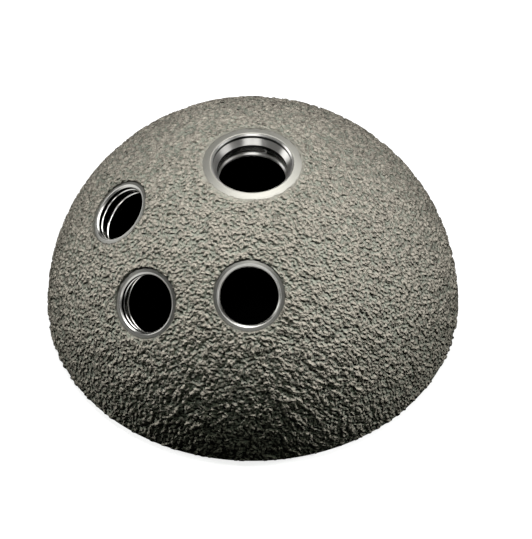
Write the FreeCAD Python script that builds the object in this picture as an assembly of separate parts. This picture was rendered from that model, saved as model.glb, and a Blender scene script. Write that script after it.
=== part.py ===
"""Acetabular shell: the metal cup of a hip socket, one solid with a sprayed outer coat.

Lengths are in millimetres and angles in degrees. The shell stands on its rim: the origin is
the centre of the rim plane, which is also the centre of the outer sphere, +Z points through
the pole, and -Y points towards the cluster of three screw holes.
"""

import FreeCAD
import Part

import math
import os

# Outer sphere and wall
outer_radius = 27.0             # over the sprayed coat
coat_thickness = 0.35           # the masked lands round the holes lie this far below the coat
wall_thickness = 3.6            # coat and metal together, at the polished bowl
rim_outer_chamfer = 0.3

# Mouth: lead-in chamfer, locking taper and the relief groove where the taper ends
mouth_step = 0.9                # the taper's large end is this much wider than the bowl
mouth_chamfer = 0.4
taper_half_angle = 9.0
taper_height = 5.4
relief_depth = 0.3
relief_width = 1.0

# Scallops that stop the liner turning
scallop_count = 12
scallop_radius = 1.3
scallop_height = 3.2
scallop_first_angle = 15.0

# Polar hole, from the outside in: land, lip, collar, cone, ring groove, bore and stop
polar_land_radius = 6.2
polar_lip_chamfer = 0.25
polar_collar_radius = 4.95
polar_collar_height = 0.4
polar_cone_height = 0.7
polar_bore_radius = 4.4
polar_groove_height = 0.35
polar_groove_depth = 0.3
polar_stop_step = 0.2           # the stop narrows the bore by this much at 45 degrees
polar_stop_height = 0.45        # from the bowl to the top of the stop

# Screw holes: land, lip, neck, and a ball seat for the screw's head on the inside
screw_land_radius = 4.36
screw_lip_chamfer = 0.2
screw_neck_radius = 3.65
screw_seat_radius = 4.1
screw_exit_chamfer = 0.2
middle_hole_tilt = 50.0         # from the pole
side_hole_tilt = 40.0
side_hole_spread = 39.4         # either side of the middle hole, round the pole
cluster_azimuth = 270.0         # -Y

# Cutters run this far past the faces that they open
overshoot = 1.0

bowl_radius = outer_radius - wall_thickness
core_radius = outer_radius - coat_thickness
mouth_radius = bowl_radius + mouth_step


def height_on_sphere(sphere_radius, radius):
    """Distance from the centre, along the axis, of a circle of this radius on a sphere."""
    return math.sqrt(sphere_radius ** 2 - radius ** 2)


def point(radius, height):
    return FreeCAD.Vector(radius, 0, height)


def arc_between(start, end, centre_height=0.0):
    """Arc between two profile points, about a centre on the axis."""
    start_angle = math.atan2(start.z - centre_height, start.x)
    end_angle = math.atan2(end.z - centre_height, end.x)
    radius = math.hypot(start.x, start.z - centre_height)
    middle_angle = (start_angle + end_angle) / 2
    middle = point(
        radius * math.cos(middle_angle), centre_height + radius * math.sin(middle_angle)
    )
    return Part.Arc(start, middle, end).toShape()


def chain(points):
    """Straight edges through a list of profile points."""
    return [Part.LineSegment(a, b).toShape() for a, b in zip(points, points[1:])]


def revolved(edges):
    """Solid of revolution about Z from the edges of a closed profile in the XZ half plane."""
    profile = Part.Face(Part.Wire(edges))
    return profile.revolve(FreeCAD.Vector(0, 0, 0), FreeCAD.Vector(0, 0, 1), 360)


def dome():
    """Solid hemisphere with a broken edge where the coat meets the rim face."""
    chamfer_top = point(height_on_sphere(outer_radius, rim_outer_chamfer), rim_outer_chamfer)
    chamfer_foot = point(chamfer_top.x - rim_outer_chamfer, 0)
    pole = point(0, outer_radius)
    edges = chain([pole, point(0, 0), chamfer_foot, chamfer_top])
    edges.append(arc_between(chamfer_top, pole))
    return revolved(edges)


def taper_radius(height):
    return mouth_radius - height * math.tan(math.radians(taper_half_angle))


def cavity():
    """Inside of the cup: lead-in, locking taper, relief groove and polished bowl."""
    relief_radius = taper_radius(taper_height) + relief_depth
    relief_top = taper_height + relief_width
    bowl_edge = point(height_on_sphere(bowl_radius, relief_top), relief_top)
    bowl_pole = point(0, bowl_radius)
    edges = chain([
        bowl_pole,
        point(0, -overshoot),
        point(mouth_radius + mouth_chamfer + overshoot, -overshoot),
        point(mouth_radius + mouth_chamfer, 0),
        point(taper_radius(mouth_chamfer), mouth_chamfer),
        point(taper_radius(taper_height), taper_height),
        point(relief_radius, taper_height + relief_depth),
        point(relief_radius, relief_top),
        bowl_edge,
    ])
    edges.append(arc_between(bowl_edge, bowl_pole))
    return revolved(edges)


def scallop(angle):
    """Half-round notch milled up from the rim face, open to the inside of the mouth."""
    reach = scallop_height + overshoot
    notch = Part.makeCylinder(scallop_radius, reach, point(mouth_radius, -overshoot))
    notch.rotate(FreeCAD.Vector(0, 0, 0), FreeCAD.Vector(0, 0, 1), angle)
    return notch


def hole_mouth(land_radius, hole_radius, lip_chamfer):
    """Outer end of a hole: the land bared of coat, then the chamfered lip in its middle.

    Returns the profile's first point, on the axis outside the dome, its edges and its last
    point, at the foot of the lip.
    """
    land_edge = point(land_radius, height_on_sphere(core_radius, land_radius))
    lip_radius = hole_radius + lip_chamfer
    lip_top = point(lip_radius, height_on_sphere(core_radius, lip_radius))
    lip_foot = point(hole_radius, lip_top.z - lip_chamfer)
    start = point(0, outer_radius + overshoot)
    edges = chain([start, point(land_radius, start.z), land_edge])
    edges.append(arc_between(land_edge, lip_top))
    edges += chain([lip_top, lip_foot])
    return start, edges, lip_foot


def polar_hole():
    """Cutter for the hole at the pole, which takes the inserter and later a plug."""
    start, edges, lip_foot = hole_mouth(polar_land_radius, polar_collar_radius, polar_lip_chamfer)
    cone_top = lip_foot.z - polar_collar_height
    groove_top = cone_top - polar_cone_height
    groove_bottom = groove_top - polar_groove_height
    groove_radius = polar_bore_radius + polar_groove_depth
    stop_radius = polar_bore_radius - polar_stop_step
    stop_top = height_on_sphere(bowl_radius, stop_radius) + polar_stop_height
    stop_foot = stop_top - polar_stop_step
    inside = bowl_radius - polar_stop_height - overshoot
    edges += chain([
        lip_foot,
        point(polar_collar_radius, cone_top),
        point(polar_bore_radius, groove_top),
        point(groove_radius, groove_top),
        point(groove_radius, groove_bottom),
        point(polar_bore_radius, groove_bottom),
        point(polar_bore_radius, stop_top),
        point(stop_radius, stop_foot),
        point(stop_radius, inside),
        point(0, inside),
        start,
    ])
    return revolved(edges)


def screw_hole():
    """Cutter for a screw hole along +Z. The seat's ball is centred on the bowl's surface."""
    start, edges, lip_foot = hole_mouth(screw_land_radius, screw_neck_radius, screw_lip_chamfer)
    neck_end = height_on_sphere(screw_seat_radius, screw_neck_radius)
    seat_top = point(screw_neck_radius, bowl_radius + neck_end)
    seat_foot = point(screw_seat_radius, bowl_radius)
    exit_top = height_on_sphere(bowl_radius, screw_seat_radius) + screw_exit_chamfer
    exit_reach = screw_exit_chamfer + overshoot
    edges += chain([lip_foot, seat_top])
    edges.append(arc_between(seat_top, seat_foot, bowl_radius))
    edges += chain([
        seat_foot,
        point(screw_seat_radius, exit_top),
        point(screw_seat_radius + exit_reach, exit_top - exit_reach),
        point(0, exit_top - exit_reach),
        start,
    ])
    return revolved(edges)


def aimed(cutter, tilt, azimuth):
    """Copy of a cutter tipped away from the pole and turned round it."""
    turned = cutter.copy()
    turned.rotate(FreeCAD.Vector(0, 0, 0), FreeCAD.Vector(0, 1, 0), tilt)
    turned.rotate(FreeCAD.Vector(0, 0, 0), FreeCAD.Vector(0, 0, 1), azimuth)
    return turned


def shell():
    """The whole shell: a hemisphere, hollowed, notched round its mouth and drilled."""
    screw_cutter = screw_hole()
    holes = [
        polar_hole(),
        aimed(screw_cutter, middle_hole_tilt, cluster_azimuth),
        aimed(screw_cutter, side_hole_tilt, cluster_azimuth - side_hole_spread),
        aimed(screw_cutter, side_hole_tilt, cluster_azimuth + side_hole_spread),
    ]
    scallops = [
        scallop(scallop_first_angle + 360 * i / scallop_count) for i in range(scallop_count)
    ]
    return dome().cut(cavity()).cut(scallops).cut(holes)


os.makedirs("parts", exist_ok=True)
cup = shell()
print("valid", cup.isValid(), "solids", len(cup.Solids), "volume", round(cup.Volume, 1))
cup.Solids[0].exportStep("parts/shell.step")
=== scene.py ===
import bpy
import math
import numpy as np
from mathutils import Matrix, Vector


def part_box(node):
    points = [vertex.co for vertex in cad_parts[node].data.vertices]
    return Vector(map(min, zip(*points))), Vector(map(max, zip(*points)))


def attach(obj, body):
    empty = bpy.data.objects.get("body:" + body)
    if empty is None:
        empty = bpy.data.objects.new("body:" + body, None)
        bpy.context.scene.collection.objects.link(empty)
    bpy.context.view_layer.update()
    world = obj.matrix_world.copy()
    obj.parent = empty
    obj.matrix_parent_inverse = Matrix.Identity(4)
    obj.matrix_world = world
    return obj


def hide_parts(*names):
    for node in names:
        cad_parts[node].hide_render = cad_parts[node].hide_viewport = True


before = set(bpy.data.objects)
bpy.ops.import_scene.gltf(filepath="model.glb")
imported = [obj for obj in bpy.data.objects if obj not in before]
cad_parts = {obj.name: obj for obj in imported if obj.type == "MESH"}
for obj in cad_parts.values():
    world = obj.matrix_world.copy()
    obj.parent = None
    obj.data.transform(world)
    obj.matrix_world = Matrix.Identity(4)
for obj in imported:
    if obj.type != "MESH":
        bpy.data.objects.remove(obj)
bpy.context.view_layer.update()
print("frame loaded")

mm = 0.001

# Sizes of the shell, as the solid has them; the outer radius itself comes from the frame
shell = {
    "node": "shell",
    "body": "root",
    "slot": "titanium",
    "wallThickness": 3.6 * mm,
    "coatThickness": 0.35 * mm,
    "rimChamfer": 0.3 * mm,
    "mouthStep": 0.9 * mm,            # the taper's large end is this much wider than the bowl
    "mouthChamfer": 0.4 * mm,
    "taperHalfAngle": math.radians(9.0),
    "taperHeight": 5.4 * mm,
    "reliefDepth": 0.3 * mm,
    "reliefWidth": 1.0 * mm,
    "overshoot": 1.0 * mm,            # cutters run this far past the faces that they open
    "bowlSteps": 28,
    "cavitySegments": 144,
    "sharpAngle": math.radians(28),   # machined edges that turn by more are shaded as sharp
}

boxLow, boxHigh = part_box(shell["node"])
outerRadius = math.hypot((boxHigh.x - boxLow.x) / 2, shell["rimChamfer"])
bowlRadius = outerRadius - shell["wallThickness"]
coreRadius = outerRadius - shell["coatThickness"]   # bare metal under the coat
mouthRadius = bowlRadius + shell["mouthStep"]

# Faces of each finish, in the order of the material slots
(coatSlot, polarLandSlot, polarSlot, grooveShadeSlot, polarWallSlot, screwLandSlot, screwLipSlot,
 screwSlot, insideSlot) = range(9)


# Meshes. A shape is a set of arrays: vertices, a list of face blocks (each block an array of
# vertex numbers, with as many columns as its faces have corners), the material slot of each
# face, and one row of the map for each corner of each face, all in the same order.
def heightOnSphere(sphereRadius, radius):
    # Pythagoras: the height of a circle of this radius on a sphere about the origin
    return np.sqrt(sphereRadius ** 2 - radius ** 2)


def arcPoints(start, end, centreZ, steps):
    # Points between two profile points at even angles about a centre on the axis, ends left out
    radius = math.hypot(start[0], start[1] - centreZ)
    first = math.atan2(start[1] - centreZ, start[0])
    last = math.atan2(end[1] - centreZ, end[0])
    angles = np.linspace(first, last, steps + 1)[1:-1]
    return [(radius * math.cos(angle), centreZ + radius * math.sin(angle)) for angle in angles]


def aimedMatrix(tilt, azimuth):
    # Tips +Z towards +X by the tilt, then turns it round Z to the azimuth
    tip = np.array([
        [math.cos(tilt), 0, math.sin(tilt)], [0, 1, 0], [-math.sin(tilt), 0, math.cos(tilt)]
    ])
    turn = np.array([
        [math.cos(azimuth), -math.sin(azimuth), 0], [math.sin(azimuth), math.cos(azimuth), 0],
        [0, 0, 1],
    ])
    return turn @ tip


def newObject(name, vertices, faces, faceSlots, uvs, materials):
    # Puts the arrays into a mesh; a face starts in the list of corners where the last one ended
    corners = np.concatenate([block.ravel() for block in faces])
    sizes = np.concatenate([np.full(len(block), block.shape[1]) for block in faces])
    mesh = bpy.data.meshes.new(name)
    mesh.vertices.add(len(vertices))
    mesh.vertices.foreach_set("co", vertices.astype(np.float32).ravel())
    mesh.loops.add(len(corners))
    mesh.loops.foreach_set("vertex_index", corners.astype(np.int32))
    mesh.polygons.add(len(sizes))
    mesh.polygons.foreach_set("loop_start", (np.cumsum(sizes) - sizes).astype(np.int32))
    mesh.update(calc_edges=True)
    mesh.polygons.foreach_set("material_index", np.asarray(faceSlots, dtype=np.int32))
    layer = mesh.uv_layers.new(name="turning")
    layer.uv.foreach_set("vector", np.asarray(uvs, dtype=np.float32).ravel())
    for material in materials:
        mesh.materials.append(material)
    mesh.validate()
    piece = bpy.data.objects.new(name, mesh)
    bpy.context.scene.collection.objects.link(piece)
    return piece


def uvCorners(*pairs):
    # Each pair holds the U and the V of one corner over all faces; out come the rows in order
    corners = [np.stack(np.broadcast_arrays(u, v), axis=-1) for u, v in pairs]
    return np.stack(corners, axis=-2).reshape(-1, 2)


def latheArrays(profile, slots, segments, wavy=None):
    # Each profile point (r, z) goes round the axis: x = r cos a, y = r sin a. The first and last
    # points lie on the axis and close the ends. U is the angle in turns, V the length along the
    # profile in millimetres. wavy, if given, scales the radius of some rings with the angle.
    profile = np.array(profile)
    angles = np.arange(segments) / segments * 2 * np.pi
    radii = profile[1:-1, 0][:, None] * np.ones(segments)
    if wavy is not None:
        wavyRings, amount = wavy
        radii[wavyRings] *= 1 + amount
    heights = profile[1:-1, 1][:, None] * np.ones(segments)
    grid = np.stack([radii * np.cos(angles), radii * np.sin(angles), heights], axis=-1)
    rings = len(profile) - 2
    vertices = np.concatenate([
        grid.reshape(-1, 3), [[0, 0, profile[0, 1]], [0, 0, profile[-1, 1]]]
    ])

    index = np.arange(rings * segments).reshape(rings, segments)
    nextIndex = np.roll(index, -1, axis=1)
    top, bottom = np.full(segments, rings * segments), np.full(segments, rings * segments + 1)
    walls = np.stack([index[:-1], index[1:], nextIndex[1:], nextIndex[:-1]], axis=-1)
    faces = [
        np.stack([top, index[0], nextIndex[0]], axis=1),
        walls.reshape(-1, 4),
        np.stack([index[-1], bottom, nextIndex[-1]], axis=1),
    ]

    along = np.concatenate([[0], np.cumsum(np.hypot(*np.diff(profile, axis=0).T))]) / mm
    turn = np.arange(segments)
    u, uNext = turn / segments, (turn + 1) / segments
    v, vNext = along[1:-2, None], along[2:-1, None]
    uvs = np.concatenate([
        uvCorners((u, along[0]), (u, along[1]), (uNext, along[1])),
        uvCorners((u, v), (u, vNext), (uNext, vNext), (uNext, v)),
        uvCorners((u, along[-2]), (u, along[-1]), (uNext, along[-2])),
    ])
    return vertices, faces, np.repeat(np.array(slots), segments), uvs


def joined(parts):
    # Several closed shapes in one set of arrays: vertex numbers move up by what came before
    vertices, faces, slots, uvs = zip(*parts)
    starts = np.cumsum([0] + [len(part) for part in vertices[:-1]])
    moved = [block + start for blocks, start in zip(faces, starts) for block in blocks]
    return np.concatenate(vertices), moved, np.concatenate(slots), np.concatenate(uvs)


def placed(arrays, matrix=None, shift=(0, 0, 0)):
    # Turns a shape by the matrix, then moves it by the shift
    vertices, faces, slots, uvs = arrays
    if matrix is not None:
        vertices = vertices @ matrix.T
    return vertices + np.array(shift), faces, slots, uvs


# The coat: grains of sprayed metal, modelled down to the mesh's own spacing
coat = {
    "gridSteps": 284,                 # squares along each side of the square that becomes the dome
    "grainSize": 0.5 * mm,
    "lumpSize": 1.7 * mm,
    "meanHeight": 0.52,               # heights are shares of the coat's thickness
    "grainHeight": 0.66,
    "grainMean": 0.8,                 # the size of the wave field, averaged over the dome
    "lumpHeight": 0.03,
    "lowest": 0.02,
    "polarFeather": 0.6 * mm,         # the coat thins over this width beside a bare land
    "screwFeather": 0.14 * mm,
    "edgeHeight": 0.25,               # what is left of its height at the land's edge
    "waves": 90,
    "seed": 7,
}


def waveField(points, size, waves, seed):
    # Sum of many cosine waves of one length with random headings and phases, scaled so that its
    # values spread about 1 either side of 0
    rng = np.random.default_rng(seed)
    headings = rng.normal(size=(waves, 3))
    headings /= np.linalg.norm(headings, axis=1)[:, None]
    phases = rng.uniform(0, 2 * np.pi, waves)
    swing = points @ (headings.T * (2 * np.pi / size)) + phases
    return np.cos(swing).sum(axis=1) * math.sqrt(2 / waves)


def smoothStep(x):
    # 0 up to 0 and 1 from 1 on, with 3 x squared less 2 x cubed between
    x = np.clip(x, 0, 1)
    return x * x * (3 - 2 * x)


def coatFullness(points, holes):
    # 0 at the edge of a bare land, rising smoothly to 1 where the coat has its full depth
    full = np.ones(len(points))
    for matrix, landRadius, feather in holes:
        axis = matrix[:, 2]
        along = points @ axis
        offAxis = np.linalg.norm(points - along[:, None] * axis, axis=1)
        reach = smoothStep((offAxis - landRadius) / feather)
        full *= np.where(along > 0, reach, 1)
    return full


def domeGrid():
    # A square grid laid on a disc without tearing: points keep their larger coordinate as the
    # distance from the middle and their share of it as the angle. The disc then goes up on the
    # sphere with equal areas: the drop from the pole is the square of the distance.
    side = np.linspace(-1, 1, coat["gridSteps"] + 1)
    across, down = np.meshgrid(side, side, indexing="ij")
    wide = np.abs(across) > np.abs(down)
    distance = np.where(wide, across, down)
    divisor = np.where(np.abs(distance) < 1e-9, 1, distance)   # the middle has no angle
    angle = np.where(
        wide, np.pi / 4 * down / divisor, np.pi / 2 - np.pi / 4 * across / divisor
    )
    z = outerRadius - (outerRadius - shell["rimChamfer"]) * distance ** 2
    radius = np.sqrt(np.maximum(outerRadius ** 2 - z ** 2, 0)) * np.sign(divisor)
    return np.stack([radius * np.cos(angle), radius * np.sin(angle), z], axis=-1).reshape(-1, 3)


def coatHeight(points, holes):
    # Grains are the wave field's size without its sign, so that creases run between round tops.
    # Low lumps are added, and the whole is lowered where the coat thins towards a land.
    grains = np.abs(waveField(points, 2 * coat["grainSize"], coat["waves"], coat["seed"]))
    lumps = waveField(points, coat["lumpSize"], coat["waves"], coat["seed"] + 1)
    height = coat["meanHeight"] + coat["grainHeight"] * (grains - coat["grainMean"])
    height = height + coat["lumpHeight"] * lumps
    full = coatFullness(points, holes)
    return np.clip(
        height * (coat["edgeHeight"] + (1 - coat["edgeHeight"]) * full), coat["lowest"], 1
    )


def domeArrays(holes):
    # Each grid point goes out from the core by its share of the coat's thickness. The rim closes
    # the dome: a broken edge, then the flat face on which the shell stands, filled to the middle.
    points = domeGrid()
    headings = points / np.linalg.norm(points, axis=1)[:, None]
    height = coatHeight(points, holes)
    points = headings * (coreRadius + height * shell["coatThickness"])[:, None]

    steps = coat["gridSteps"]
    index = np.arange((steps + 1) ** 2).reshape(steps + 1, steps + 1)
    quads = np.stack([index[:-1, :-1], index[1:, :-1], index[1:, 1:], index[:-1, 1:]], axis=-1)
    edge = np.concatenate([index[:-1, 0], index[-1, :-1], index[:0:-1, -1], index[0, :0:-1]])
    around = np.arctan2(points[edge, 1], points[edge, 0])

    def rimRing(radius):
        return np.stack([radius * np.cos(around), radius * np.sin(around), 0 * around], axis=1)

    foot = rimRing(outerRadius - shell["rimChamfer"])
    inner = rimRing(mouthRadius - 2 * shell["overshoot"])   # well inside what the cavity takes
    footIndex = np.arange(len(edge)) + len(points)
    innerIndex = footIndex + len(edge)
    centre = np.full(len(edge), len(points) + 2 * len(edge))

    def band(upper, lower):
        return np.stack([upper, lower, np.roll(lower, -1), np.roll(upper, -1)], axis=1)

    vertices = np.concatenate([points, foot, inner, np.zeros((1, 3))])
    faces = [
        quads.reshape(-1, 4), band(edge, footIndex), band(footIndex, innerIndex),
        np.stack([innerIndex, centre, np.roll(innerIndex, -1)], axis=1),
    ]
    slots = np.repeat(
        [coatSlot, coatSlot, insideSlot, insideSlot], [len(block) for block in faces]
    )
    return vertices, faces, slots, np.zeros((sum(block.size for block in faces), 2))


def taperRadius(height):
    # The taper narrows from the mouth by the tangent of its half angle
    return mouthRadius - height * math.tan(shell["taperHalfAngle"])


def cavityProfile():
    # Top to bottom: polished bowl, relief groove, locking taper, lead-in, and out past the rim
    reliefRadius = taperRadius(shell["taperHeight"]) + shell["reliefDepth"]
    reliefTop = shell["taperHeight"] + shell["reliefWidth"]
    pole = (0, bowlRadius)
    bowlEdge = (heightOnSphere(bowlRadius, reliefTop), reliefTop)
    profile = [pole] + arcPoints(pole, bowlEdge, 0, shell["bowlSteps"]) + [
        bowlEdge,
        (reliefRadius, reliefTop),
        (reliefRadius, shell["taperHeight"] + shell["reliefDepth"]),
        (taperRadius(shell["taperHeight"]), shell["taperHeight"]),
        (taperRadius(shell["mouthChamfer"]), shell["mouthChamfer"]),
        (mouthRadius + shell["mouthChamfer"], 0),
        (mouthRadius + shell["mouthChamfer"] + shell["overshoot"], -shell["overshoot"]),
        (0, -shell["overshoot"]),
    ]
    return profile, [insideSlot] * (len(profile) - 1)


scallops = {
    "count": 12, "radius": 1.3 * mm, "height": 3.2 * mm, "firstAngle": math.radians(15.0),
    "segments": 40,
}


def scallopCutters():
    # A peg for each notch, centred on the mouth's radius at even angles round it
    top, foot = scallops["height"], -shell["overshoot"]
    profile = [(0, top), (scallops["radius"], top), (scallops["radius"], foot), (0, foot)]
    peg = latheArrays(profile, [insideSlot] * 3, scallops["segments"])
    angles = scallops["firstAngle"] + np.arange(scallops["count"]) * 2 * np.pi / scallops["count"]
    shifts = [(mouthRadius * math.cos(a), mouthRadius * math.sin(a), 0) for a in angles]
    return joined([placed(peg, shift=shift) for shift in shifts])


polarHole = {
    "landRadius": 6.2 * mm,
    "lipChamfer": 0.25 * mm,
    "collarRadius": 4.95 * mm,
    "collarHeight": 0.4 * mm,
    "coneHeight": 0.7 * mm,
    "boreRadius": 4.4 * mm,
    "grooveHeight": 0.35 * mm,
    "grooveDepth": 0.3 * mm,
    "stopStep": 0.2 * mm,
    "stopHeight": 0.45 * mm,
    "segments": 128,
}

screwHoles = {
    "landRadius": 4.36 * mm,
    "lipChamfer": 0.2 * mm,
    "neckRadius": 3.65 * mm,
    "seatRadius": 4.1 * mm,
    "seatSteps": 7,
    "exitChamfer": 0.2 * mm,
    "neckBead": {"height": 0.08 * mm, "halfWidth": 0.11 * mm, "depth": 0.62 * mm},
    "seatBead": {"height": 0.14 * mm, "halfWidth": 0.165 * mm, "depth": 2.1 * mm},
    "beadPoints": 6,
    "beadClearance": 1.1,             # the seat's own points keep off a bead by its width so often
    "tilts": [math.radians(tilt) for tilt in (50.0, 40.0, 40.0)],
    "azimuths": [math.radians(270.0 + spread) for spread in (0.0, -39.4, 39.4)],
    "segments": 104,
}

holeEdge = {
    "landSteps": 6,
    "easedReach": 0.1 * mm,           # how far the lip's top edge is eased either side of it
    "easedSteps": 4,
    "maskWaves": 14,                  # the edge of the spray mask wavers round the land
    "maskFewest": 9,                  # turns of a wave round the circle, at least
    "maskMost": 40,                   # and always fewer than this
    "maskShare": 0.0035,              # of the land's radius
    "seed": 3,
}


def holeMouth(landRadius, holeRadius, chamfer, landSlot, edgeSlot, lipSlot):
    # From the axis outside the dome to the foot of the lip: land edge, land, chamfered lip. The
    # lip's top edge is eased by a parabola that leaves the land and meets the chamfer at an even
    # reach from the corner.
    over = outerRadius + shell["overshoot"]
    landEdge = (landRadius, heightOnSphere(coreRadius, landRadius))
    lipRadius = holeRadius + chamfer
    corner = np.array((lipRadius, heightOnSphere(coreRadius, lipRadius)))
    reach = holeEdge["easedReach"]
    start = np.array((lipRadius + reach, heightOnSphere(coreRadius, lipRadius + reach)))
    end = corner - reach * math.sqrt(0.5)
    t = np.linspace(0, 1, holeEdge["easedSteps"] + 1)[:, None]
    eased = (1 - t) ** 2 * start + 2 * t * (1 - t) * corner + t ** 2 * end
    land = arcPoints(landEdge, start, 0, holeEdge["landSteps"])
    profile = [(0, over), (landRadius, over), landEdge] + land + [tuple(row) for row in eased]
    profile.append((holeRadius, corner[1] - chamfer))
    slots = [coatSlot, coatSlot] + [landSlot] * (len(land) + 1)
    return profile, slots + [edgeSlot] * holeEdge["easedSteps"] + [lipSlot]


def polarProfile():
    # Land, lip, collar, cone, ring groove, bore and sloped stop, then on into the cavity
    hole = polarHole
    profile, slots = holeMouth(
        hole["landRadius"], hole["collarRadius"], hole["lipChamfer"],
        polarLandSlot, polarLandSlot, polarSlot
    )
    coneTop = profile[-1][1] - hole["collarHeight"]
    grooveTop = coneTop - hole["coneHeight"]
    grooveBottom = grooveTop - hole["grooveHeight"]
    grooveRadius = hole["boreRadius"] + hole["grooveDepth"]
    stopRadius = hole["boreRadius"] - hole["stopStep"]
    stopTop = heightOnSphere(bowlRadius, stopRadius) + hole["stopHeight"]
    inside = bowlRadius - hole["stopHeight"] - shell["overshoot"]
    # The collar and the ring groove take the near-black metal, painted shade in the hole
    walls = [
        (hole["collarRadius"], coneTop, grooveShadeSlot),
        (hole["boreRadius"], grooveTop, polarSlot),
        (grooveRadius, grooveTop, grooveShadeSlot),
        (grooveRadius, grooveBottom, grooveShadeSlot),
        (hole["boreRadius"], grooveBottom, grooveShadeSlot),
        (hole["boreRadius"], stopTop, polarWallSlot),
        (stopRadius, stopTop - hole["stopStep"], polarSlot),
        (stopRadius, inside, polarSlot),
        (0, inside, polarSlot),
    ]
    profile += [(radius, z) for radius, z, slot in walls]
    return profile, slots + [slot for radius, z, slot in walls]


def beadOn(wallRadius, bead, lipFoot):
    # A turned bead stands out from the wall by half of one plus the cosine of its share of the
    # half width, times its height. wallRadius gives the plain wall's radius at a height.
    share = np.linspace(-1, 1, screwHoles["beadPoints"])
    z = lipFoot - bead["depth"] - bead["halfWidth"] * share
    rise = bead["height"] * (1 + np.cos(np.pi * share)) / 2
    return list(zip(wallRadius(z) - rise, z))


def screwProfile():
    # Land, lip, neck with its bead, ball seat with its bead, and the chamfered exit
    hole = screwHoles
    profile, slots = holeMouth(
        hole["landRadius"], hole["neckRadius"], hole["lipChamfer"],
        screwLandSlot, screwLipSlot, screwLipSlot
    )
    lipFoot = profile[-1][1]

    def neckWall(z):
        return hole["neckRadius"]

    def seatWall(z):
        return heightOnSphere(hole["seatRadius"], z - bowlRadius)

    neckEnd = bowlRadius + heightOnSphere(hole["seatRadius"], hole["neckRadius"])
    seatTop, seatFoot = (hole["neckRadius"], neckEnd), (hole["seatRadius"], bowlRadius)
    bead = hole["seatBead"]
    seat = [
        point for point in arcPoints(seatTop, seatFoot, bowlRadius, hole["seatSteps"])
        if abs(point[1] - (lipFoot - bead["depth"])) > hole["beadClearance"] * bead["halfWidth"]
    ]
    seat = sorted(seat + beadOn(seatWall, bead, lipFoot), key=lambda point: -point[1])
    exitTop = heightOnSphere(bowlRadius, hole["seatRadius"]) + hole["exitChamfer"]
    exitReach = hole["exitChamfer"] + shell["overshoot"]
    walls = beadOn(neckWall, hole["neckBead"], lipFoot) + [seatTop] + seat + [
        seatFoot,
        (hole["seatRadius"], exitTop),
        (hole["seatRadius"] + exitReach, exitTop - exitReach),
        (0, exitTop - exitReach),
    ]
    return profile + walls, slots + [screwSlot] * len(walls)


def raggedEdge(segments, seed):
    # A few cosine waves round the circle, as shares of its radius
    rng = np.random.default_rng(seed)
    angles = np.arange(segments) / segments * 2 * np.pi
    waves = holeEdge["maskWaves"]
    counts = rng.integers(holeEdge["maskFewest"], holeEdge["maskMost"], waves)
    phases = rng.uniform(0, 2 * np.pi, waves)
    swing = np.cos(angles[:, None] * counts + phases).sum(axis=1)
    return holeEdge["maskShare"] * swing / math.sqrt(waves / 2)


def holeCutters(aims):
    # The polar cutter stands on the pole, and a screw cutter is aimed along each matrix. The top
    # two rings of each carry the ragged edge.
    outerRings = [0, 1]
    ragged = raggedEdge(polarHole["segments"], holeEdge["seed"])
    parts = [latheArrays(*polarProfile(), polarHole["segments"], (outerRings, ragged))]
    for number, matrix in enumerate(aims, start=1):
        ragged = raggedEdge(screwHoles["segments"], holeEdge["seed"] + number)
        arrays = latheArrays(*screwProfile(), screwHoles["segments"], (outerRings, ragged))
        parts.append(placed(arrays, matrix))
    return joined(parts)


# Materials
def newMaterial(name):
    # A material with only a Principled shader, for the caller to feed
    material = bpy.data.materials.new(name)
    material.use_nodes = True
    nodes = material.node_tree.nodes
    nodes.clear()
    output = nodes.new("ShaderNodeOutputMaterial")
    shader = nodes.new("ShaderNodeBsdfPrincipled")
    material.node_tree.links.new(shader.outputs["BSDF"], output.inputs["Surface"])
    return material, nodes, material.node_tree.links, shader


def mapRange(nodes, links, source, span, result):
    # Runs from the first number of the result to the second while the source crosses the span
    node = nodes.new("ShaderNodeMapRange")
    for socket, value in zip(("From Min", "From Max", "To Min", "To Max"), (*span, *result)):
        node.inputs[socket].default_value = value
    links.new(source, node.inputs["Value"])
    return node.outputs["Result"]


def combine(nodes, links, operation, first, second):
    # One Math node over two values
    node = nodes.new("ShaderNodeMath")
    node.operation = operation
    links.new(first, node.inputs[0])
    links.new(second, node.inputs[1])
    return node.outputs[0]


def socketOf(sockets, name, kind):
    # A Mix node has a socket of each name for each kind of value
    return next(socket for socket in sockets if socket.name == name and socket.type == kind)


def mixed(nodes, links, factor, low, high, kind="RGBA"):
    # low where the factor is 0 and high where it is 1; each is a plain colour or value, or a socket
    node = nodes.new("ShaderNodeMix")
    node.data_type = "RGBA" if kind == "RGBA" else "FLOAT"
    links.new(factor, socketOf(node.inputs, "Factor", "VALUE"))
    for name, value in (("A", low), ("B", high)):
        target = socketOf(node.inputs, name, kind)
        if isinstance(value, bpy.types.NodeSocket):
            links.new(value, target)
        else:
            target.default_value = (*value, 1) if kind == "RGBA" else value
    return socketOf(node.outputs, "Result", kind)


def grainGroup():
    # Sprayed grains finer than the mesh: a smooth noise in the shell's own space
    group = bpy.data.node_groups.new("sprayGrain", "ShaderNodeTree")
    group.interface.new_socket("Lumps per metre", in_out="INPUT", socket_type="NodeSocketFloat")
    group.interface.new_socket("Height", in_out="OUTPUT", socket_type="NodeSocketFloat")
    nodes, links = group.nodes, group.links
    entry, leave = nodes.new("NodeGroupInput"), nodes.new("NodeGroupOutput")
    place = nodes.new("ShaderNodeTexCoord")
    noise = nodes.new("ShaderNodeTexNoise")
    noise.inputs["Detail"].default_value = 0
    links.new(place.outputs["Object"], noise.inputs["Vector"])
    links.new(entry.outputs["Lumps per metre"], noise.inputs["Scale"])
    links.new(noise.outputs["Fac"], leave.inputs["Height"])
    return group


noiseSpan = (0.3, 0.7)                # nearly all values of a plain noise lie between these

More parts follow.
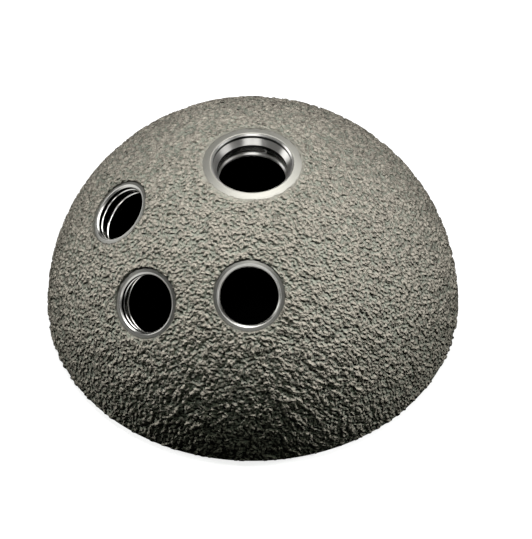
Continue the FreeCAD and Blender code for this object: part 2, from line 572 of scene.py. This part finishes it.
coatFinish = {
    "crest": (0.51, 0.469, 0.396),
    # painted shade: the pit colour, darker and greener than the crest, shades the creases between
    # grains
    "pitShade": (0.38, 0.393, 0.327),
    "pitShadeHeights": (0.13, 0.52),       # between these shares of the coat the painted pit shade gives way to the crest's colour
    "fineHeight": (-0.35, 0.35),      # what the fine grains add to that share
    "thinPolar": (0.42, 0.402, 0.345),   # where the coat runs out beside the polar land
    "thinScrewAndShade": (0.27, 0.262, 0.222),   # and beside the lands of the screw holes, darker: thin coat with painted shade along the coat's edge step
    "edgeOnShade": 0.74,                   # painted shade: the colour darkens by this share where the surface turns away
    "specular": 0.0,
    "roughness": 0.5,
    "bump": 0.96 * mm,
    "lumpsPerMetre": 2600,
}


def attributeValue(nodes, name):
    # A value that the mesh carries at each vertex
    node = nodes.new("ShaderNodeAttribute")
    node.attribute_name = name
    return node.outputs["Fac"]


def coatMaterial(group):
    # The colour goes from pit to crest with the height of modelled and fine grains together; the
    # darker pit colour is painted shade in the creases between grains. Then it goes to the thin
    # coat's colours beside the lands, the darker one beside the screw lands being thin coat with
    # painted shade along the coat's edge, and it darkens where the surface turns away, painted
    # shade of grains seen edge-on. The fine grains are bump, which fades out with the coat.
    material, nodes, links, shader = newMaterial("sprayedTitanium")
    grain = nodes.new("ShaderNodeGroup")
    grain.node_tree = group
    grain.inputs["Lumps per metre"].default_value = coatFinish["lumpsPerMetre"]
    polarFull = attributeValue(nodes, "polarFullness")
    screwFull = attributeValue(nodes, "screwFullness")

    fine = mapRange(nodes, links, grain.outputs["Height"], noiseSpan, coatFinish["fineHeight"])
    height = combine(nodes, links, "ADD", attributeValue(nodes, "coatLevel"), fine)
    # painted shade by height: 0 in the pits, 1 on the crests
    crest = mapRange(nodes, links, height, coatFinish["pitShadeHeights"], (0, 1))
    colour = mixed(nodes, links, crest, coatFinish["pitShade"], coatFinish["crest"])
    # thin coat and painted shade: the ring beside the screw lands takes the darker colour
    colour = mixed(nodes, links, screwFull, coatFinish["thinScrewAndShade"], colour)
    colour = mixed(nodes, links, polarFull, coatFinish["thinPolar"], colour)
    # painted shade: the base colour darkens from face-on to edge-on, as grains seen edge-on shade
    # each other
    away = nodes.new("ShaderNodeLayerWeight")
    away.inputs["Blend"].default_value = 0.5   # an even fall from face-on to edge-on
    edgeShade = mapRange(nodes, links, away.outputs["Facing"], (0, 1), (1, 1 - coatFinish["edgeOnShade"]))
    shadedColour = nodes.new("ShaderNodeVectorMath")
    shadedColour.operation = "SCALE"
    links.new(colour, shadedColour.inputs[0])
    links.new(edgeShade, shadedColour.inputs["Scale"])
    links.new(shadedColour.outputs["Vector"], shader.inputs["Base Color"])
    shader.inputs["Specular IOR Level"].default_value = coatFinish["specular"]
    shader.inputs["Roughness"].default_value = coatFinish["roughness"]

    relief = combine(nodes, links, "MULTIPLY", grain.outputs["Height"], polarFull)
    relief = combine(nodes, links, "MULTIPLY", relief, screwFull)
    bump = nodes.new("ShaderNodeBump")
    bump.inputs["Distance"].default_value = coatFinish["bump"]
    links.new(relief, bump.inputs["Height"])
    links.new(bump.outputs["Normal"], shader.inputs["Normal"])
    return material


# Bare metal, in the order of the slots after the coat's
finishes = {
    "polarLand": {
        "colour": (0.28, 0.274, 0.245), "metallic": 0.75, "roughness": 0.4,
        "anisotropy": 0.3, "ringsPerMm": 9, "ringDepth": 0.004 * mm,
    },
    "polarBore": {
        "colour": (0.66, 0.65, 0.62), "metallic": 1.0, "roughness": 0.31,
        "anisotropy": 0.88, "ringsPerMm": 12, "ringDepth": 0.002 * mm,
    },
    # painted shade: near-black metal for the collar and the ring groove, where shade falls inside
    # the hole
    "polarGrooveShade": {
        "colour": (0.12, 0.12, 0.115), "metallic": 1.0, "roughness": 0.3,
        "anisotropy": 0.0, "ringsPerMm": 12, "ringDepth": 0.002 * mm,
    },
    "polarWall": {
        "colour": (0.8, 0.79, 0.76), "metallic": 1.0, "roughness": 0.25,
        "anisotropy": 0.85, "ringsPerMm": 12, "ringDepth": 0.002 * mm,
    },
    "screwLand": {
        "colour": (0.19, 0.188, 0.17), "metallic": 0.7, "roughness": 0.34,
        "anisotropy": 0.3, "ringsPerMm": 9, "ringDepth": 0.004 * mm,
    },
    "screwLip": {
        "colour": (0.5, 0.495, 0.465), "metallic": 1.0, "roughness": 0.28,
        "anisotropy": 0.3, "ringsPerMm": 12, "ringDepth": 0.001 * mm,
    },
    "screwBore": {
        "colour": (0.68, 0.675, 0.65), "metallic": 1.0, "roughness": 0.16,
        "anisotropy": 0.0, "ringsPerMm": 12, "ringDepth": 0.001 * mm,
    },
    "polishedInside": {
        "colour": (0.42, 0.41, 0.39), "metallic": 1.0, "roughness": 0.13,
        "anisotropy": 0.0, "ringsPerMm": 6, "ringDepth": 0.0005 * mm,
    },
}

toolMarks = {
    "perTurn": 1.5,                   # how often a mark changes in one turn round the axis
    "detail": 2,
    "roughnessSwing": 0.04,
    "rotation": 0.25,                 # a quarter turn: light spreads across the marks
}


def turnedMaterial(name):
    # Bare metal with the marks of a tool that went round it: a noise drawn out along U, because
    # V of the map runs across the marks. It moves the roughness and the height a little.
    finish = finishes[name]
    material, nodes, links, shader = newMaterial(name)
    place = nodes.new("ShaderNodeUVMap")
    place.uv_map = "turning"
    stretch = nodes.new("ShaderNodeMapping")
    stretch.inputs["Scale"].default_value = (toolMarks["perTurn"], finish["ringsPerMm"], 1)
    links.new(place.outputs["UV"], stretch.inputs["Vector"])
    rings = nodes.new("ShaderNodeTexNoise")
    rings.inputs["Scale"].default_value = 1
    rings.inputs["Detail"].default_value = toolMarks["detail"]
    links.new(stretch.outputs["Vector"], rings.inputs["Vector"])
    bump = nodes.new("ShaderNodeBump")
    bump.inputs["Distance"].default_value = finish["ringDepth"]
    links.new(rings.outputs["Fac"], bump.inputs["Height"])
    links.new(bump.outputs["Normal"], shader.inputs["Normal"])
    tangent = nodes.new("ShaderNodeTangent")
    tangent.direction_type = "UV_MAP"
    tangent.uv_map = "turning"
    links.new(tangent.outputs["Tangent"], shader.inputs["Tangent"])
    swing = toolMarks["roughnessSwing"]
    around = (finish["roughness"] - swing, finish["roughness"] + swing)
    roughness = mapRange(nodes, links, rings.outputs["Fac"], noiseSpan, around)
    links.new(roughness, shader.inputs["Roughness"])
    shader.inputs["Base Color"].default_value = (*finish["colour"], 1)
    shader.inputs["Metallic"].default_value = finish["metallic"]
    shader.inputs["Anisotropic"].default_value = finish["anisotropy"]
    shader.inputs["Anisotropic Rotation"].default_value = toolMarks["rotation"]
    return material


def arrayOf(items, name, kind):
    # One value of every item, as an array
    values = np.empty(len(items), dtype=kind)
    items.foreach_get(name, values)
    return values


def markSharpEdges(mesh):
    # Sharp where machined faces meet at an angle; an edge between two faces of the coat never is
    mesh.polygons.foreach_set("use_smooth", np.ones(len(mesh.polygons), dtype=bool))
    mesh.set_sharp_from_angle(angle=shell["sharpAngle"])
    isCoat = arrayOf(mesh.polygons, "material_index", np.int32) == coatSlot
    cornerIsCoat = np.repeat(isCoat, arrayOf(mesh.polygons, "loop_total", np.int32)).astype(float)
    cornerEdges = arrayOf(mesh.loops, "edge_index", np.int32)
    coatFaces = np.bincount(cornerEdges, weights=cornerIsCoat, minlength=len(mesh.edges))
    sharp = arrayOf(mesh.edges, "use_edge_sharp", bool)
    sharp[coatFaces == 2] = False
    mesh.edges.foreach_set("use_edge_sharp", sharp)


def storeCoatShares(mesh, holes):
    # The coat's own height at each vertex and how full it is near each kind of hole
    places = np.empty(len(mesh.vertices) * 3)
    mesh.vertices.foreach_get("co", places)
    places = places.reshape(-1, 3)
    distance = np.linalg.norm(places, axis=1)
    shares = {
        "coatLevel": np.clip((distance - coreRadius) / shell["coatThickness"], 0, 1),
        "polarFullness": coatFullness(places, holes[:1]),
        "screwFullness": coatFullness(places, holes[1:]),
    }
    for name, values in shares.items():
        attribute = mesh.attributes.new(name, "FLOAT", "POINT")
        attribute.data.foreach_set("value", values.astype(np.float32))


def buildShell():
    # The rough dome, less the cavity, the notches and the holes
    materials = [coatMaterial(grainGroup())] + [turnedMaterial(name) for name in finishes]
    aims = [aimedMatrix(t, a) for t, a in zip(screwHoles["tilts"], screwHoles["azimuths"])]
    holes = [(np.eye(3), polarHole["landRadius"], coat["polarFeather"])]
    holes += [(matrix, screwHoles["landRadius"], coat["screwFeather"]) for matrix in aims]
    blank = newObject("blank", *domeArrays(holes), materials)
    cavity = latheArrays(*cavityProfile(), shell["cavitySegments"])
    cutters = [
        newObject("cavityCutter", *cavity, materials),
        newObject("scallopCutter", *scallopCutters(), materials),
        newObject("holeCutter", *holeCutters(aims), materials),
    ]
    print("blank and cutters made:", len(blank.data.polygons), "faces on the dome")
    for cutter in cutters:
        cut = blank.modifiers.new(cutter.name, "BOOLEAN")
        cut.operation = "DIFFERENCE"
        cut.solver = "EXACT"
        cut.material_mode = "INDEX"
        cut.object = cutter
    graph = bpy.context.evaluated_depsgraph_get()
    mesh = bpy.data.meshes.new_from_object(blank.evaluated_get(graph), depsgraph=graph)
    mesh.name = "cup_shell"
    for scrap in [blank] + cutters:
        bpy.data.objects.remove(scrap)
    markSharpEdges(mesh)
    storeCoatShares(mesh, holes)
    piece = bpy.data.objects.new("cup_shell", mesh)
    bpy.context.scene.collection.objects.link(piece)
    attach(piece, shell["body"])
    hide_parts(shell["node"])
    return piece


cup = buildShell()
triangles = sum(arrayOf(cup.data.polygons, "loop_total", np.int32) - 2)
print("shell cut:", len(cup.data.polygons), "faces,", triangles, "triangles")

# Floor, light and camera
studio = {
    "floorSize": 6.0,
    "floorDrop": 0.02 * mm,
    "floorShown": (0.35, 0.35, 0.35),      # to the camera and to mirrors
    "floorHidden": (0.004, 0.004, 0.004),  # to light that the coat and floor scatter
    "floorGlow": 0.8,                 # with the lit floor's own light this is just past white
    "worldFill": 0.003,
    "ceiling": 0.05,
    "horizonFade": (0.05, 0.25),      # sines of the elevations between which it darkens
    "padRadius": 26.2 * mm,
    "padSides": 64,
    # painted shade for the inside of the hollow
    "padShadeColour": (0.0003, 0.0003, 0.0003),
    "lampDistance": 0.6,
    "lampSide": 0.1,
}

view = {
    "azimuth": 40.6,
    "elevation": 47.92,
    "distance": 369.1 * mm,
    "right": 1.717 * mm,              # the camera stands this far right of and above the line
    "up": 4.174 * mm,                 # through the centre of the rim
    "lens": 187.27,
    "nearest": 0.01,
}

# Azimuth 0 is the camera's side and positive to its right. Mirrors don't see the lamps.
lamps = {
    "overheadLamp": {"azimuth": -176, "elevation": 78.8, "power": 2.78, "colour": (1, 0.98, 1)},
    "frontLeftLamp": {"azimuth": -86, "elevation": 40, "power": 0.4, "colour": (0.86, 1, 0.84)},
    "frontRightLamp": {"azimuth": 72, "elevation": 44, "power": 0.42, "colour": (0.86, 1, 0.84)},
    "leftLamp": {"azimuth": -106, "elevation": 22, "power": 2.15, "colour": (1, 1, 1)},
    "rightLamp": {"azimuth": 101, "elevation": 32, "power": 2.4, "colour": (1, 1, 1)},
}

# Pale cards that only mirrors see. Each glows in full up to one angle from its middle, in
# degrees, and has faded out at the other.
cards = {
    "highBehind": {"azimuth": -176, "elevation": 76, "full": 12, "gone": 24, "glow": 5.5},
    "highFront": {"azimuth": 0, "elevation": 75, "full": 5, "gone": 14, "glow": 5.0},
    "lowFrontLeft": {"azimuth": -14, "elevation": 25, "full": 6, "gone": 13, "glow": 2.2},
    "lowFrontRight": {"azimuth": 14, "elevation": 25, "full": 6, "gone": 13, "glow": 2.2},
    "lowRight": {"azimuth": 78, "elevation": 18, "full": 10, "gone": 22, "glow": 1.2},
    "front": {"azimuth": 0, "elevation": 50, "full": 4, "gone": 12, "glow": 2.0},
    "behindRight": {"azimuth": 165, "elevation": 52, "full": 8, "gone": 18, "glow": 5.0},
    "highRight": {"azimuth": 110, "elevation": 60, "full": 6, "gone": 14, "glow": 3.5},
    "lowLeft": {"azimuth": -104, "elevation": 20, "full": 8, "gone": 20, "glow": 3.0},
}


def headingOf(azimuth, elevation):
    # Unit vector from the shell towards a place: the sine and cosine of the angle round Z, each
    # times the cosine of the elevation, and the elevation's sine
    turn, rise = math.radians(view["azimuth"] + azimuth), math.radians(elevation)
    level = math.cos(rise)
    return Vector((math.sin(turn) * level, -math.cos(turn) * level, math.sin(rise)))


def rayKinds(nodes, links):
    # Two masks: 1 for rays that left a mirror or went through glass, and 1 for the camera's own
    rays = nodes.new("ShaderNodeLightPath")
    glossy, through = rays.outputs["Is Glossy Ray"], rays.outputs["Is Transmission Ray"]
    return combine(nodes, links, "MAXIMUM", glossy, through), rays.outputs["Is Camera Ray"]


def addStage(name, corners, material):
    # One flat face under the shell
    mesh = bpy.data.meshes.new(name)
    mesh.from_pydata(corners, [], [tuple(range(len(corners)))])
    mesh.materials.append(material)
    stage = bpy.data.objects.new(name, mesh)
    bpy.context.scene.collection.objects.link(stage)


def buildFloor():
    # White to the camera and to mirrors, nearly black to scattered light
    material, nodes, links, shader = newMaterial("paleFloor")
    mirror, camera = rayKinds(nodes, links)
    shown = combine(nodes, links, "MAXIMUM", mirror, camera)
    colour = mixed(nodes, links, shown, studio["floorHidden"], studio["floorShown"])
    links.new(colour, shader.inputs["Base Color"])
    shader.inputs["Specular IOR Level"].default_value = 0
    shader.inputs["Roughness"].default_value = 1
    shader.inputs["Emission Color"].default_value = (1, 1, 1, 1)
    glow = mapRange(nodes, links, shown, (0, 1), (0, studio["floorGlow"]))
    links.new(glow, shader.inputs["Emission Strength"])
    half, z = studio["floorSize"] / 2, -studio["floorDrop"]
    addStage("floor", [(-half, -half, z), (half, -half, z), (half, half, z), (-half, half, z)],
             material)


def buildShadePad():
    # A near-black round pad under the hollow, painted shade for the inside of the cup, so that the
    # holes look into darkness
    material, nodes, links, shader = newMaterial("insideShadePad")
    shader.inputs["Base Color"].default_value = (*studio["padShadeColour"], 1)
    shader.inputs["Specular IOR Level"].default_value = 0
    angles = np.linspace(0, 2 * np.pi, studio["padSides"], endpoint=False)
    radius, z = studio["padRadius"], -studio["floorDrop"] / 2
    corners = np.stack([radius * np.cos(angles), radius * np.sin(angles), 0 * angles + z], axis=1)
    addStage("pad", corners.tolist(), material)


def buildCamera():
    # Looks along the line to the rim's centre, moved a little to the right and up
    back = headingOf(0, view["elevation"])
    turn = math.radians(view["azimuth"])
    right = Vector((math.cos(turn), math.sin(turn), 0))
    up = back.cross(right)
    data = bpy.data.cameras.new("camera")
    data.lens = view["lens"]
    data.clip_start = view["nearest"]
    camera = bpy.data.objects.new("camera", data)
    camera.location = back * view["distance"] + right * view["right"] + up * view["up"]
    camera.rotation_euler = (-back).to_track_quat("-Z", "Y").to_euler()
    bpy.context.scene.collection.objects.link(camera)
    bpy.context.scene.camera = camera


def addLamp(name):
    # A small square lamp that faces the shell
    place = lamps[name]
    heading = headingOf(place["azimuth"], place["elevation"])
    lamp = bpy.data.lights.new(name, "AREA")
    lamp.size = studio["lampSide"]
    lamp.energy = place["power"]
    lamp.color = place["colour"]
    holder = bpy.data.objects.new(name, lamp)
    holder.location = heading * studio["lampDistance"]
    holder.rotation_euler = (-heading).to_track_quat("-Z", "Y").to_euler()
    holder.visible_glossy = False
    bpy.context.scene.collection.objects.link(holder)


def cardGlow(nodes, links, direction, card):
    # The dot product of two headings is the cosine of the angle between them
    along = nodes.new("ShaderNodeVectorMath")
    along.operation = "DOT_PRODUCT"
    along.inputs[1].default_value = headingOf(card["azimuth"], card["elevation"])
    links.new(direction, along.inputs[0])
    fade = [math.cos(math.radians(card[end])) for end in ("gone", "full")]
    return mapRange(nodes, links, along.outputs["Value"], fade, (0, card["glow"]))


def buildWorld():
    # White to the camera. Mirrors see white round the horizon, where the floor ends, a dim
    # ceiling and the cards. Scattered light gets little.
    world = bpy.data.worlds.new("studio")
    world.use_nodes = True
    nodes, links = world.node_tree.nodes, world.node_tree.links
    direction = nodes.new("ShaderNodeTexCoord").outputs["Generated"]
    axes = nodes.new("ShaderNodeSeparateXYZ")
    links.new(direction, axes.inputs["Vector"])
    mirror, camera = rayKinds(nodes, links)
    shown = mapRange(nodes, links, axes.outputs["Z"], studio["horizonFade"], (1, studio["ceiling"]))
    for card in cards.values():
        shown = combine(nodes, links, "ADD", shown, cardGlow(nodes, links, direction, card))
    strength = mixed(nodes, links, mirror, studio["worldFill"], shown, "VALUE")
    strength = mixed(nodes, links, camera, strength, 1, "VALUE")
    background = nodes["Background"]
    background.inputs["Color"].default_value = (1, 1, 1, 1)
    links.new(strength, background.inputs["Strength"])
    bpy.context.scene.world = world


buildFloor()
buildShadePad()
buildCamera()
buildWorld()
for name in lamps:
    addLamp(name)
bpy.context.scene.view_settings.view_transform = "Standard"
print("studio made")
